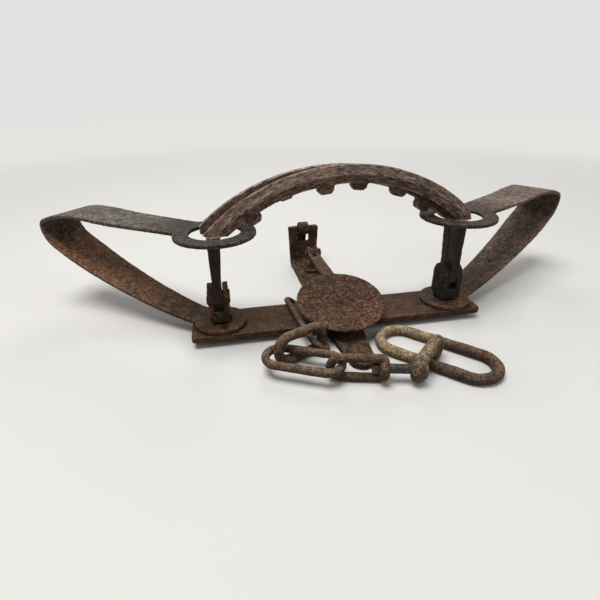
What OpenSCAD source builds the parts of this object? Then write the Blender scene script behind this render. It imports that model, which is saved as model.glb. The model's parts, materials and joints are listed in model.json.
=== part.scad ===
// Leghold trap: a large double long-spring trap with toothed jaws, shut, with its short drag chain.
// Millimetres. X runs along the base bar, Y to the back, Z up. The cross bar stands on Z = 0.

/* [Base] */
// Length of the base bar
base_length = 348; // [340:1:356]
// Width of the base bar
base_width = 60; // [58:0.5:62]
// Thickness of the base bar
base_thick = 7; // [6.6:0.1:7.4]
// Corner radius of the base bar
base_corner = 4; // [3:0.5:10]

/* [Cross bar] */
// Skew of the cross bar, its back end to the left
cross_skew = 1.8; // [0:0.1:2.4]
// Width of the cross bar
cross_width = 43; // [40:0.5:44]
// Thickness of the cross bar
cross_thick = 8; // [7.6:0.1:8.4]
// Outer face of the dog post, from the middle of the trap
dog_post_back = 194; // [190:0.5:198]
// Height of the dog post
dog_post_height = 65; // [64:0.5:68]
// Width of the dog post at its top
dog_post_width = 48; // [44:0.5:52]
// Inner radius of the bend at the foot of the dog post
dog_post_bend = 4; // [3:0.5:6]
// Width of the slot for the dog
dog_slot_width = 18; // [17:0.5:22]
// Height of the slot for the dog
dog_slot_height = 17; // [15:0.5:19]
// Height of the strip that the dog hooks over
dog_strip = 8; // [7:0.2:8.2]
// Start of the tapered tongue, in front of the middle
tongue_start = 30; // [26:1:34]
// Centre of the tongue's round tip, in front of the middle
tongue_reach = 88; // [84:0.5:90]
// Radius of the tongue's round tip
tongue_tip = 14; // [12:0.5:15]

/* [Jaw posts] */
// Distance of each jaw post from its end of the base bar
post_inset = 33.5; // [31:0.5:36]
// Radius of the post stem
stem_radius = 11; // [10:0.2:11.6]
// Thickness of each fork ear
ear_thick = 6.4; // [5.8:0.2:7]
// Width of the ears, front to back
ear_width = 30; // [29.6:0.2:32]
// Height of the ears' rounded top
fork_top = 66; // [65:0.2:67]
// Height of the underside of the fork
fork_foot = 24; // [23.4:0.2:26]
// Height of the bottom of the fork slot
fork_slot_floor = 36; // [34:0.5:38]

/* [Jaws] */
// Height of the jaw pivots
pivot_z = 49; // [48.6:0.1:49.4]
// Distance of each jaw pivot from the middle plane
pivot_y = 7.5; // [7.4:0.02:7.7]
// Radius of the jaw pivot pins
pivot_radius = 4; // [3.4:0.1:4.2]
// Height of the top of the arch
jaw_top = 188; // [185:0.5:191]
// Outer radius of the arch
jaw_radius = 218; // [214:0.5:222]
// Sideways shift of each arch, front jaw to the right and back jaw to the left
jaw_shift = 6; // [4:0.2:6.4]
// Depth of the arch bar, along the radius
jaw_depth = 18.5; // [17:0.5:20]
// Thickness of one jaw
jaw_thick = 12; // [11:0.2:12.4]
// Depth of the bevel on the arch's outer edge
jaw_bevel = 9; // [6:0.5:10]
// Height of the flat ends of the arch
jaw_shoulder = 122; // [121:0.2:124]
// Width of the jaw arm at the arch
jaw_arm_width = 14.6; // [13.6:0.2:15.6]
// Depth of the teeth
tooth_depth = 9; // [6:0.5:9.5]
// Width of the teeth
tooth_width = 20; // [15:0.5:21]
// Angle between the teeth of one jaw
tooth_pitch = 23.6; // [22.6:0.1:24]
// Angle of the middle tooth from the top of the arch
tooth_offset = 7.5; // [6.5:0.1:8]

/* [Springs] */
// Thickness of the spring leaf
leaf_thick = 5; // [4.6:0.1:5.2]
// Width of the spring leaf at its nose
leaf_width = 54; // [50:0.5:57]
// Width of the leaf where it meets the lower eye
leaf_low_width = 35; // [32:0.5:40]
// Width of the leaf where it meets the upper eye
leaf_high_width = 43; // [40:0.5:46]
// Diameter of the lower eye's disc
lower_eye = 61; // [59:0.5:63]
// Outer diameter of the upper eye
upper_eye = 87; // [85:0.5:90]
// Hole of the upper eye
upper_hole = 54; // [53:0.5:55]
// Where the lower arm starts to rise, from the post
knee_reach = 36; // [35:0.5:38]
// Slope of the lower arm from end to end
arm_slope = 19.2; // [18.8:0.1:19.6]
// Bow of the lower arm, on its slope at either end
arm_bow = 9.5; // [7:0.5:10]
// Where the lower arm ends, from the post
arm_reach = 226; // [224:0.5:228]
// Radius of the first part of the spring's nose
nose_radius = 26; // [25:0.2:27]
// Slope at which the nose turns over
nose_slope = 80; // [78:0.5:82]
// Radius of the turned-over part of the nose
fold_radius = 12; // [11.4:0.2:12.6]
// Slope of the upper arm where it leaves the nose
crown_slope = 21; // [20:0.2:22]
// Radius of the upper arm's crown
crown_radius = 150; // [145:1:155]
// Slope of the upper arm's fall to its eye
dip_slope = 4.1; // [3.8:0.1:4.5]
// Radius of the two bends of that fall
dip_radius = 450; // [430:5:460]
// Shift of the left spring's upper eye towards the middle
left_eye_shift = 5; // [0:0.5:6]
// Small hole in the right spring's lower arm, from the post
leaf_hole_reach = 112; // [100:1:140]
// Radius of the small hole
leaf_hole = 2.3; // [1.6:0.1:3]
// Left spring, swung back
left_swing = 36; // [34:0.5:38]
// Right spring, swung back
right_swing = 30; // [28:0.5:32]

/* [Pan] */
// Diameter of the pan
pan_diameter = 104; // [98:0.5:104.6]
// Thickness of the pan
pan_thick = 4; // [3.4:0.1:4.4]
// Depth of the pan's dish
pan_dish = 1.5; // [0.6:0.1:2]
// Middle of the pan, in front of the middle of the trap
pan_front = 11.2; // [10.8:0.1:11.6]
// Height of the middle of the pan
pan_height = 34; // [33.4:0.1:35]
// Tilt of the pan, front edge down
pan_tilt = 13; // [12:0.1:13.4]
// Width of the pan shank
shank_width = 16; // [15:0.2:18]
// Thickness of the pan shank
shank_thick = 5; // [4:0.2:5.4]
// Distance of the pan hinge behind the middle
hinge_y = 147; // [144:0.5:150]
// Height of the pan hinge
hinge_z = 35; // [34:0.2:36]
// Radius of the pan hinge pin
hinge_radius = 3; // [2.6:0.1:3.4]
// Thickness of the bracket's upright lug
lug_thick = 5.4; // [5:0.1:6]

/* [Dog] */
// Width of the dog
dog_width = 15.4; // [13:0.2:16]
// Thickness of the dog
dog_thick = 3.8; // [3.2:0.1:4]
// Length of the dog's strap
dog_length = 58; // [50:0.5:60]
// Lean of the hanging dog, away from the post
dog_lean = 14; // [12:0.5:20]

/* [Chain] */
// Bar radius of the base loop
loop_bar = 3.8; // [3.4:0.1:3.8]
// Distance between the two strands of the base loop
loop_span = 24; // [24:0.1:24.6]
// Length of the base loop between the centres of its ends
loop_length = 88.5; // [88:0.5:89.5]
// Bar radius of the coupling ring
coupling_bar = 5.8; // [5.4:0.1:5.8]
// Height between the coupling ring's strands
coupling_span = 28; // [28:0.1:29]
// Length of the coupling ring between its upright ends
coupling_length = 55.3; // [54.8:0.1:56]
// Bar radius of the long link
link_bar = 4.8; // [4.4:0.1:4.8]
// Distance between the strands of the long link
link_span = 31; // [31:0.1:31.6]
// Length of the long link between the centres of its ends
link_length = 47; // [46:0.5:48]
// Bar radius of the swivel bow
bow_bar = 4.8; // [4.4:0.1:4.8]
// Height between the swivel bow's strands
bow_span = 22.4; // [22.4:0.1:23]
// Length of the swivel bow, up to its bored end
bow_length = 57; // [56:0.5:58]
// Radius of the swivel pin
swivel_radius = 5; // [4.6:0.1:5]
// Length of the swivel pin beyond the bow
swivel_reach = 29; // [27:0.5:31]
// Bar radius of the ring hook
hook_bar = 6.8; // [6.4:0.1:6.8]
// Height between the ring hook's strands
hook_span = 16; // [16:0.1:16.6]
// Length of the ring hook between its upright ends
hook_length = 58; // [57:0.5:60]
// Length of each straight stub under the ring hook
hook_stub = 3; // [2:0.1:3]
// Bar radius of the drag ring
ring_bar = 6.2; // [5.8:0.1:6.2]
// Length of the drag ring between the centres of its ends
ring_length = 78; // [76:0.5:80]
// Distance between the long sides of the drag ring, bar centre to bar centre
ring_span = 46; // [46:0.5:47.5]

/* [Fits] */
// Running clearance of pins in their bores, on the radius
run_gap = 0.06; // [0.04:0.01:0.1]
// Clearance of fixed pins and rivets in their holes, on the radius
fixed_gap = 0.05; // [0.02:0.01:0.08]
// Clearance beside parts that turn
side_gap = 0.3; // [0.2:0.05:0.4]
// Play of the spring's lower eye round the post, on the radius
eye_play = 1.5; // [1:0.1:2]
// Play between two chain pieces
link_play = 0.4; // [0.3:0.05:0.5]
// Roundness of curved faces
roundness = 64; // [48:8:96]

/* [Hidden] */
$fn = roundness;

// posts, and heights in the stack on the floor
post_x = base_length / 2 - post_inset;
base_top = cross_thick + base_thick;
eye_z = base_top + side_gap;
peen_high = 3;
peen_radius = stem_radius + 4;

// base rivets
base_rivet = 5;
base_rivet_y = 18;
base_rivet_head = 3;

// jaw forks
jaw_end = 10;
fork_slot = jaw_end + 2 * side_gap;
fork_wide = fork_slot + 2 * ear_thick;
ear_radius = ear_width / 2;
pin_head = 1.4;
pin_head_radius = 5.8;

// jaws
jaw_inner = jaw_radius - jaw_depth;
jaw_centre = jaw_top - jaw_radius;
jaw_gap = 0.2;
jaw_eye = 7.2;
jaw_neck = pivot_z + 20;
jaw_arm_in = post_x - jaw_arm_width * 0.64;
jaw_arm_thick = 2 * (pivot_y - jaw_gap) - 0.2;
jaw_over = 6.3;
jaw_lap = 1;
jaw_root = 6;
arch_half = 50;
shoulder_rise = jaw_shoulder - jaw_centre;
shoulder_out = sqrt(pow(jaw_radius, 2) - pow(shoulder_rise, 2));
shoulder_in = sqrt(pow(jaw_inner, 2) - pow(shoulder_rise, 2));
shoulder_mid = (shoulder_out + shoulder_in) / 2;

// spring leaf, drawn from the post axis outwards
leaf_z = eye_z + leaf_thick / 2;
arm_foot = arm_slope - arm_bow;
arm_head = arm_slope + arm_bow;
arm_radius = (arm_reach - knee_reach) / cos(arm_slope) / (2 * sin(arm_bow));
arm_centre = [knee_reach, leaf_z] - arm_radius * turn(arm_foot);
nose_straight = 1;
nose_lead = nose_straight * [cos(arm_head), sin(arm_head)];
arm_end = arm_centre + arm_radius * turn(arm_head) + nose_lead;
nose_start = arm_end + nose_lead;
nose_centre = nose_start - nose_radius * turn(arm_head);
nose_end = nose_centre + nose_radius * turn(nose_slope);
fold_centre = nose_end - fold_radius * turn(nose_slope);
fold_end = fold_centre + fold_radius * turn(180 - crown_slope);
crown_centre = fold_end - crown_radius * turn(180 - crown_slope);
dip_centre = crown_centre + (crown_radius - dip_radius) * turn(180);
dip_mid = dip_centre + dip_radius * turn(180 + dip_slope);
level_centre = dip_mid + dip_radius * turn(180 + dip_slope);
upper_z = level_centre[1] - dip_radius;
arc_steps = 10;
eye_lap = 1;

// dog
dog_pivot = [dog_post_back - cross_thick / 2, dog_post_height - dog_strip / 2];
dog_bore = norm([cross_thick, dog_strip]) / 2 + 0.5;
dog_eye = dog_bore + dog_thick;

// pan hinge
cheek = (shank_width - lug_thick - 2 * side_gap) / 2;
cheek_radius = 9.6;
cheek_slot = 14;
lug_radius = 8;
bracket_foot = 4;
bracket_half = [13, 15];
bracket_rivet = 3;
bracket_rivet_x = 9;
shank_drop = pan_thick / 2 + shank_thick / 2;
shank_heel = pan_point([pan_diameter / 2, -shank_drop]);
pan_rivet_radius = 4;

// chain: each piece starts where the one before it holds it
loop_tip = [-37.3, -57.5];
loop_yaw = -82.8;
loop_z = cross_thick + base_thick / 2;
loop_tilt = -asin((base_thick + 2 * (loop_bar + side_gap)) / loop_span);
loop_seat = loop_span / 2 - loop_bar - coupling_bar - 2 * link_play;
coupling_yaw = 24.1;
coupling_dir = [cos(coupling_yaw), sin(coupling_yaw)];
coupling_held = loop_tip + loop_seat * [cos(loop_yaw), sin(loop_yaw)];
coupling_right = coupling_held + coupling_span / 2 * (1 - sqrt(0.5)) * coupling_dir;
coupling_left = coupling_right - coupling_length * coupling_dir;
link_yaw = -25;
link_dir = [cos(link_yaw), sin(link_yaw)];
link_z = 2 * coupling_bar + link_play + link_bar;
link_left = coupling_left + seat(coupling_bar) * [cos(-69), sin(-69)];
link_right = link_left + link_length * link_dir;
bow_yaw = -14;
bow_dir = [cos(bow_yaw), sin(bow_yaw)];
bow_left = link_right + seat(bow_bar) * [cos(-67), sin(-67)];
bow_z = bow_bar + bow_span / 2;
boss_long = 10;
boss_soft = 3;
boss_radius = bow_span / 2 + 1.6;
swivel_head = bow_span / 2 - bow_bar - side_gap;
swivel_head_long = 6;
hook_yaw = 44;
hook_dir = [cos(hook_yaw), sin(hook_yaw)];
hook_left = bow_left + (bow_length + swivel_reach) * bow_dir;
hook_eye = 9.5;
hook_back = 6;
hook_eye_long = 13;
ring_yaw = hook_yaw - 90;
ring_cross = hook_length - hook_back - hook_span / 2 - hook_stub - hook_bar - link_play - ring_bar;
ring_centre = hook_left + (ring_cross + ring_span / 2) * hook_dir;

// A point of the tilted pan, given along and above its middle.
function pan_point(p) = [
    -pan_front + p[0] * cos(pan_tilt) - p[1] * sin(pan_tilt),
    pan_height + p[0] * sin(pan_tilt) + p[1] * cos(pan_tilt)
];

// How far a bar lies off the centre of the long link's end when it touches the link.
function seat(bar) = link_span / 2 - link_bar - bar - link_play;

// From the centre of a left-hand arc to its point with a heading.
function turn(heading) = [sin(heading), -cos(heading)];

// Points of an arc from one heading to another. The first point is left out where asked.
function arc(centre, radius, from, to, first = 0) = [
    for (i = [first:arc_steps])
        centre + radius * turn(from + (to - from) * i / arc_steps)
];

function unit(v) = v / norm(v);

// Sideways step at one point of a path, for a strip of half thickness 1.
function mitre(path, i) =
    let (
        a = unit(path[max(i, 1)] - path[max(i, 1) - 1]),
        b = unit(path[min(i, len(path) - 2) + 1] - path[min(i, len(path) - 2)]),
        m = unit(a + b)
    )
    [-m[1], m[0]] / (m * a);

// Outline of a strip of even thickness along a path.
function strip(path, thick) = concat(
    [for (i = [0:len(path) - 1]) path[i] + mitre(path, i) * thick / 2],
    [for (i = [len(path) - 1:-1:0]) path[i] - mitre(path, i) * thick / 2]
);

// A bar with its axis along X, from one x to another.
module x_bar(radius, from, to, y = 0, z = 0) {
    translate([from, y, z])
        rotate([0, 90, 0])
            cylinder(r = radius, h = to - from);
}

// A side profile drawn in Y and Z, made wide along X.
module x_slab(width) {
    translate([-width / 2, 0, 0])
        rotate([90, 0, 90])
            linear_extrude(height = width)
                children();
}

// A face profile drawn in X and Z, from one y to another.
module y_slab(from, to) {
    translate([0, to, 0])
        rotate([90, 0, 0])
            linear_extrude(height = to - from)
                children();
}

// Part of a round bar bent to a radius.
module bent_bar(radius, bar, from, to) {
    rotate([0, 0, from])
        rotate_extrude(angle = to - from)
            translate([radius, 0])
                circle(r = bar);
}

// A closed link flat in X and Y, between two end centres on the X axis.
module flat_link(length, span, bar) {
    bent_bar(span / 2, bar, 90, 270);
    translate([length, 0, 0])
        bent_bar(span / 2, bar, -90, 90);
    for (side = [-1, 1])
        x_bar(bar, 0, length, side * span / 2);
}

// A rivet along Z with a low domed head on top.
module rivet(radius, from, to, head) {
    translate([0, 0, from])
        cylinder(r = radius, h = to - from);
    translate([0, 0, to])
        cylinder(r1 = radius * 1.6, r2 = radius * 0.9, h = head);
}

module base_bar() {
    color("#7a4a2c")
        difference() {
            translate([0, 0, cross_thick])
                linear_extrude(height = base_thick)
                    union() {
                        square([base_length - 2 * base_corner, base_width], center = true);
                        square([base_length, base_width - 2 * base_corner], center = true);
                        for (x = [-1, 1])
                            for (y = [-1, 1])
                                translate([
                                    x * (base_length / 2 - base_corner),
                                    y * (base_width / 2 - base_corner)
                                ])
                                    circle(r = base_corner);
                    }
            for (x = [-1, 1])
                translate([x * post_x, 0, 0])
                    cylinder(r = stem_radius + fixed_gap, h = base_top + 1);
            on_cross()
                for (y = [-1, 1])
                    translate([0, y * base_rivet_y, 0])
                        cylinder(r = base_rivet + fixed_gap, h = base_top + 1);
        }
}

// Plan of the cross bar from the tongue's tip to the bend.
module cross_plan() {
    away = norm([cross_width / 2, tongue_reach - tongue_start]);
    lean = atan2(tongue_reach - tongue_start, cross_width / 2) - acos(tongue_tip / away);
    touch = tongue_tip * [cos(lean), sin(lean)] - [0, tongue_reach];
    translate([0, -tongue_reach])
        circle(r = tongue_tip);
    polygon([
        [-cross_width / 2, -tongue_start], [-touch[0], touch[1]], touch,
        [cross_width / 2, -tongue_start]
    ]);
    translate([-cross_width / 2, -tongue_start])
        square([cross_width, tongue_start + dog_post_back - cross_thick - dog_post_bend]);
}

module cross_bar() {
    bend_y = dog_post_back - cross_thick - dog_post_bend;
    bend_z = cross_thick + dog_post_bend;
    corner = 2;
    color("#8a5a36")
        difference() {
            union() {
                linear_extrude(height = cross_thick)
                    cross_plan();
                translate([-cross_width / 2, bend_y, bend_z])
                    rotate([0, 90, 0])
                        rotate_extrude(angle = 90)
                            translate([dog_post_bend, 0])
                                square([cross_thick, cross_width]);
                y_slab(dog_post_back - cross_thick, dog_post_back)
                    polygon([
                        [-cross_width / 2, bend_z], [cross_width / 2, bend_z],
                        [dog_post_width / 2, dog_post_height - corner],
                        [dog_post_width / 2 - corner, dog_post_height],
                        [-dog_post_width / 2 + corner, dog_post_height],
                        [-dog_post_width / 2, dog_post_height - corner]
                    ]);
            }
            translate([
                -dog_slot_width / 2, dog_post_back - 2 * cross_thick,
                dog_post_height - dog_strip - dog_slot_height
            ])
                cube([dog_slot_width, 3 * cross_thick, dog_slot_height]);
            for (y = [-1, 1])
                translate([0, y * base_rivet_y, -1])
                    cylinder(r = base_rivet + fixed_gap, h = cross_thick + 2);
            rotate([0, 0, -cross_skew])
                for (x = [-1, 1])
                    translate([x * bracket_rivet_x, hinge_y, -1])
                        cylinder(r = bracket_rivet + fixed_gap, h = cross_thick + 2);
        }
}

module cross_rivets() {
    color("#6b4630")
        for (y = [-1, 1])
            translate([0, y * base_rivet_y, 0])
                rivet(base_rivet, 0.2, base_top, base_rivet_head);
}

// Puts a shape on the skewed cross bar.
module on_cross() {
    rotate([0, 0, cross_skew])
        children();
}

// A forked jaw post on its stem, its axis on the origin.
module post() {
    ear_centre = fork_top - ear_radius;
    difference() {
        union() {
            translate([0, 0, cross_thick - peen_high])
                cylinder(r1 = stem_radius, r2 = peen_radius, h = peen_high);
            translate([0, 0, cross_thick])
                cylinder(r = stem_radius, h = fork_foot + 1 - cross_thick);
            x_slab(fork_wide) {
                translate([0, ear_centre])
                    circle(r = ear_radius);
                translate([-ear_radius, fork_foot])
                    square([ear_width, ear_centre - fork_foot]);
            }
        }
        translate([-fork_slot / 2, -ear_width, fork_slot_floor])
            cube([fork_slot, 2 * ear_width, fork_top]);
        for (y = [-1, 1])
            x_bar(pivot_radius + fixed_gap, -fork_wide, fork_wide, y * pivot_y, pivot_z);
    }
}

module left_post() {
    color("#5d3a2a")
        translate([-post_x, 0, 0])
            post();
}

module right_post() {
    color("#4c4a40")
        translate([post_x, 0, 0])
            post();
}

// The two jaw pivot pins of one post.
module pivot_pins() {
    for (y = [-1, 1]) {
        x_bar(pivot_radius, -fork_wide / 2, fork_wide / 2, y * pivot_y, pivot_z);
        for (side = [0, 1])
            translate([0, y * pivot_y, pivot_z])
                rotate([0, 0, 180 * side])
                    translate([fork_wide / 2, 0, 0])
                        rotate([0, 90, 0])
                            cylinder(r1 = pin_head_radius, r2 = pivot_radius, h = pin_head);
    }
}

module left_pivot_pins() {
    color("#6a5040")
        translate([-post_x, 0, 0])
            pivot_pins();
}

module right_pivot_pins() {
    color("#6a5a48")
        translate([post_x, 0, 0])
            pivot_pins();
}

// One tooth, hanging from the inner edge of the arch at an angle from the top.
module tooth(angle) {
    root = 3;
    soft = tooth_depth * 0.4;
    translate([-jaw_shift, 0, jaw_centre])
        rotate([0, angle, 0])
            translate([0, 0, jaw_inner])
                y_slab(jaw_gap, jaw_gap + jaw_thick * 0.85)
                    polygon([
                        [-tooth_width / 2, root], [tooth_width / 2, root],
                        [tooth_width / 2 - 1, soft - tooth_depth],
                        [tooth_width / 2 - 1 - soft, -tooth_depth],
                        [soft + 1 - tooth_width / 2, -tooth_depth],
                        [1 - tooth_width / 2, soft - tooth_depth]
                    ]);
}

// The back jaw; the front jaw is the same one turned round.
module jaw() {
    arm_out = jaw_arm_in + jaw_arm_width;
    arm_mid = jaw_arm_in + jaw_arm_width / 2;
    difference() {
        union() {
            intersection() {
                translate([-jaw_shift, 0, jaw_centre])
                    rotate([-90, 0, 0])
                        rotate([0, 0, -90 - arch_half])
                            rotate_extrude(angle = 2 * arch_half, $fn = 2 * roundness)
                                polygon([
                                    [jaw_inner, jaw_gap], [jaw_radius, jaw_gap],
                                    [jaw_radius, jaw_gap + jaw_thick * 0.45],
                                    [jaw_radius - jaw_bevel, jaw_gap + jaw_thick],
                                    [jaw_inner, jaw_gap + jaw_thick]
                                ]);
                translate([-arm_out - jaw_over, -jaw_thick, jaw_shoulder])
                    cube([2 * (arm_out + jaw_over), 3 * jaw_thick, jaw_top]);
            }
            for (step = [-1:1])
                tooth(tooth_offset + step * tooth_pitch);
            for (side = [-1, 1]) {
                y_slab(jaw_gap, jaw_gap + jaw_arm_thick)
                    polygon([
                        [side * (post_x - jaw_end / 2), pivot_z],
                        [side * (post_x + jaw_end / 2), pivot_z],
                        [side * (post_x + jaw_end / 2), jaw_neck],
                        [side * arm_out, jaw_shoulder + jaw_lap],
                        [side * jaw_arm_in, jaw_shoulder + jaw_lap],
                        [side * (post_x - jaw_end / 2), jaw_neck]
                    ]);
                // root inside the end of the arch, which holds the arm at any length of the base
                y_slab(jaw_gap + jaw_lap, jaw_gap + jaw_thick * 0.45)
                    polygon([
                        [side * arm_mid, jaw_shoulder + jaw_lap / 2],
                        [side * shoulder_mid - jaw_shift, jaw_shoulder + jaw_lap / 2],
                        [side * shoulder_mid - jaw_shift, jaw_shoulder + jaw_root],
                        [side * arm_mid, jaw_shoulder + jaw_root]
                    ]);
                x_bar(
                    jaw_eye, side * post_x - jaw_end / 2, side * post_x + jaw_end / 2, pivot_y,
                    pivot_z
                );
            }
        }
        for (side = [-1, 1])
            x_bar(
                pivot_radius + run_gap, side * post_x - jaw_end, side * post_x + jaw_end, pivot_y,
                pivot_z
            );
    }
}

module front_jaw() {
    color("#54443f")
        rotate([0, 0, 180])
            jaw();
}

module back_jaw() {
    color("#5c4c46")
        jaw();
}

// Leaf of a spring along a path, narrowing from its nose to its eye.
module leaf(path, eye_width) {
    nose = arm_reach - nose_radius;
    far = arm_reach + 2 * nose_radius;
    intersection() {
        y_slab(-leaf_width, leaf_width)
            polygon(strip(path, leaf_thick));
        linear_extrude(height = 2 * upper_z)
            polygon([
                [0, -eye_width / 2], [knee_reach, -eye_width / 2], [nose, -leaf_width / 2],
                [far, -leaf_width / 2], [far, leaf_width / 2], [nose, leaf_width / 2],
                [knee_reach, eye_width / 2], [0, eye_width / 2]
            ]);
    }
}

// Lower arm of a spring, its post on the origin and its nose along X.
module leaf_lower() {
    knee = concat(
        [[0, leaf_z]],
        arc(arm_centre, arm_radius, arm_foot, arm_head),
        [arm_end]
    );
    difference() {
        union() {
            translate([0, 0, eye_z])
                cylinder(r = lower_eye / 2, h = leaf_thick);
            leaf(knee, leaf_low_width);
        }
        translate([0, 0, eye_z - 1])
            cylinder(r = stem_radius + eye_play, h = leaf_thick + 2);
    }
}

// Upper arm of a spring with its nose, its crown and its ring eye.
module leaf_upper(shift = 0) {
    band_end = sqrt(pow(upper_eye / 2, 2) - pow(leaf_high_width / 2, 2)) - eye_lap - shift;
    crown = concat(
        [arm_end],
        arc(nose_centre, nose_radius, arm_head, nose_slope),
        arc(fold_centre, fold_radius, nose_slope, 180 - crown_slope, 1),
        arc(crown_centre, crown_radius, 180 - crown_slope, 180, 1),
        arc(dip_centre, dip_radius, 180, 180 + dip_slope, 1),
        arc(level_centre, -dip_radius, 180 + dip_slope, 180, 1),
        [[band_end, upper_z]]
    );
    leaf(crown, leaf_high_width);
    translate([-shift, 0, upper_z - leaf_thick / 2])
        difference() {
            cylinder(r = upper_eye / 2, h = leaf_thick);
            translate([0, 0, -1])
                cylinder(r = upper_hole / 2, h = leaf_thick + 2);
        }
}

// Puts a spring on its post, swung back.
module at_left_post() {
    translate([-post_x, 0, 0])
        rotate([0, 0, 180 - left_swing])
            children();
}

module at_right_post() {
    translate([post_x, 0, 0])
        rotate([0, 0, right_swing])
            children();
}

module left_spring_lower() {
    color("#7d5236")
        at_left_post()
            leaf_lower();
}

module left_spring_upper() {
    color("#6f6c58")
        at_left_post()
            leaf_upper(left_eye_shift);
}

module right_spring_lower() {
    heading = asin((leaf_hole_reach - arm_centre[0]) / arm_radius);
    hole = arm_centre + arm_radius * turn(heading);
    color("#6e5644")
        at_right_post()
            difference() {
                leaf_lower();
                translate([hole[0], 0, hole[1]])
                    rotate([0, -heading, 0])
                        cylinder(r = leaf_hole, h = 4 * leaf_thick, center = true);
            }
}

module right_spring_upper() {
    color("#6a5e50")
        at_right_post()
            leaf_upper();
}

module pan_bracket() {
    foot_z = cross_thick + bracket_foot;
    color("#7a5138")
        difference() {
            union() {
                translate([-bracket_half[0], hinge_y - bracket_half[1], cross_thick])
                    cube([2 * bracket_half[0], 2 * bracket_half[1], bracket_foot]);
                x_slab(lug_thick) {
                    translate([hinge_y, hinge_z])
                        circle(r = lug_radius);
                    translate([hinge_y - lug_radius, foot_z - 1])
                        square([2 * lug_radius, hinge_z - foot_z + 1]);
                }
            }
            x_bar(hinge_radius + fixed_gap, -lug_thick, lug_thick, hinge_y, hinge_z);
            for (x = [-1, 1])
                translate([x * bracket_rivet_x, hinge_y, 0])
                    cylinder(r = bracket_rivet + fixed_gap, h = foot_z + 1);
        }
}

module pan_bracket_rivets() {
    color("#6b4630")
        for (x = [-1, 1])
            translate([x * bracket_rivet_x, hinge_y, 0])
                rivet(bracket_rivet, 0.2, cross_thick + bracket_foot, 2);
}

module pan_pin() {
    half = shank_width / 2 + side_gap;
    head = 4.4;
    color("#6a5040") {
        x_bar(hinge_radius, -half, half, hinge_y, hinge_z);
        x_bar(hinge_radius + 3.2, half, half + head, hinge_y, hinge_z);
        x_bar(hinge_radius + 1, -half - head / 2, -half, hinge_y, hinge_z);
    }
}

// Puts a shape at the middle of the tilted pan.
module at_pan() {
    translate([0, -pan_front, pan_height])
        rotate([pan_tilt, 0, 0])
            children();
}

module pan_plate() {
    rim = pan_diameter / 2;
    half = pan_thick / 2;
    color("#6e3f2c")
        at_pan()
            rotate_extrude($fn = 2 * roundness)
                polygon([
                    [pan_rivet_radius + fixed_gap, -half], [rim - 1, -half], [rim, 1 - half],
                    [rim, half - 0.4], [rim - 0.4, half], [rim - 5, half],
                    [rim - 14, half - pan_dish], [pan_rivet_radius + fixed_gap, half - pan_dish]
                ]);
}

module pan_shank() {
    toe = pan_point([-18, -shank_drop]);
    color("#74492f")
        difference() {
            union() {
                x_slab(shank_width)
                    polygon(strip([toe, shank_heel, [hinge_y, hinge_z]], shank_thick));
                x_bar(cheek_radius, -shank_width / 2, shank_width / 2, hinge_y, hinge_z);
            }
            x_slab(shank_width - 2 * cheek)
                translate([hinge_y - cheek_radius - cheek_slot, 0])
                    square([2 * (cheek_radius + cheek_slot), 2 * hinge_z]);
            x_bar(hinge_radius + run_gap, -shank_width, shank_width, hinge_y, hinge_z);
            at_pan()
                cylinder(r = pan_rivet_radius + fixed_gap, h = 6 * shank_thick, center = true);
        }
}

module pan_rivet() {
    color("#5c3424")
        at_pan()
            rivet(
                pan_rivet_radius, -pan_thick / 2 - shank_thick - 1, pan_thick / 2 - pan_dish, 0.5
            );
}

module dog() {
    mid = dog_bore + dog_thick / 2;
    root = dog_pivot + mid * [cos(dog_lean), sin(dog_lean)];
    tip = root + dog_length * [sin(dog_lean), -cos(dog_lean)];
    color("#6d5644")
        difference() {
            union() {
                x_bar(dog_eye, -dog_width / 2, dog_width / 2, dog_pivot[0], dog_pivot[1]);
                x_slab(dog_width)
                    polygon(strip([root, tip], dog_thick));
            }
            x_bar(dog_bore, -dog_width, dog_width, dog_pivot[0], dog_pivot[1]);
        }
}

module base_loop() {
    color("#8a6a4a")
        translate([loop_tip[0], loop_tip[1], loop_z])
            rotate([0, 0, loop_yaw])
                rotate([loop_tilt, 0, 0])
                    translate([-loop_length, 0, 0])
                        flat_link(loop_length, loop_span, loop_bar);
}

module coupling_ring() {
    half = coupling_span / 2;
    color("#7f5d40")
        translate([coupling_left[0], coupling_left[1], coupling_bar + half])
            rotate([90, 0, coupling_yaw])
                translate([half, 0, 0])
                    flat_link(coupling_length - coupling_span, coupling_span, coupling_bar);
}

module long_link() {
    color("#86623f")
        translate([link_left[0], link_left[1], link_z])
            rotate([0, 0, link_yaw])
                flat_link(link_length, link_span, link_bar);
}

// Puts a shape on the swivel's axis, the bow's round end at the origin.
module at_bow() {
    translate([bow_left[0], bow_left[1], bow_z])
        rotate([0, 0, bow_yaw])
            children();
}

module swivel_bow() {
    half = bow_span / 2;
    color("#7c5a3d")
        at_bow()
            difference() {
                union() {
                    rotate([90, 0, 0]) {
                        translate([half, 0, 0])
                            bent_bar(half, bow_bar, 90, 270);
                        for (side = [-1, 1])
                            x_bar(bow_bar, half, bow_length - boss_long / 2, side * half);
                    }
                    x_bar(boss_radius, bow_length - boss_long + boss_soft, bow_length - boss_soft);
                    translate([bow_length - boss_soft, 0, 0])
                        rotate([0, 90, 0])
                            cylinder(r1 = boss_radius, r2 = boss_radius - boss_soft, h = boss_soft);
                    translate([bow_length - boss_long + boss_soft, 0, 0])
                        rotate([0, -90, 0])
                            cylinder(r1 = boss_radius, r2 = boss_radius - boss_soft, h = boss_soft);
                }
                x_bar(swivel_radius + run_gap, bow_length - 2 * boss_long, bow_length + 1);
            }
}

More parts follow.
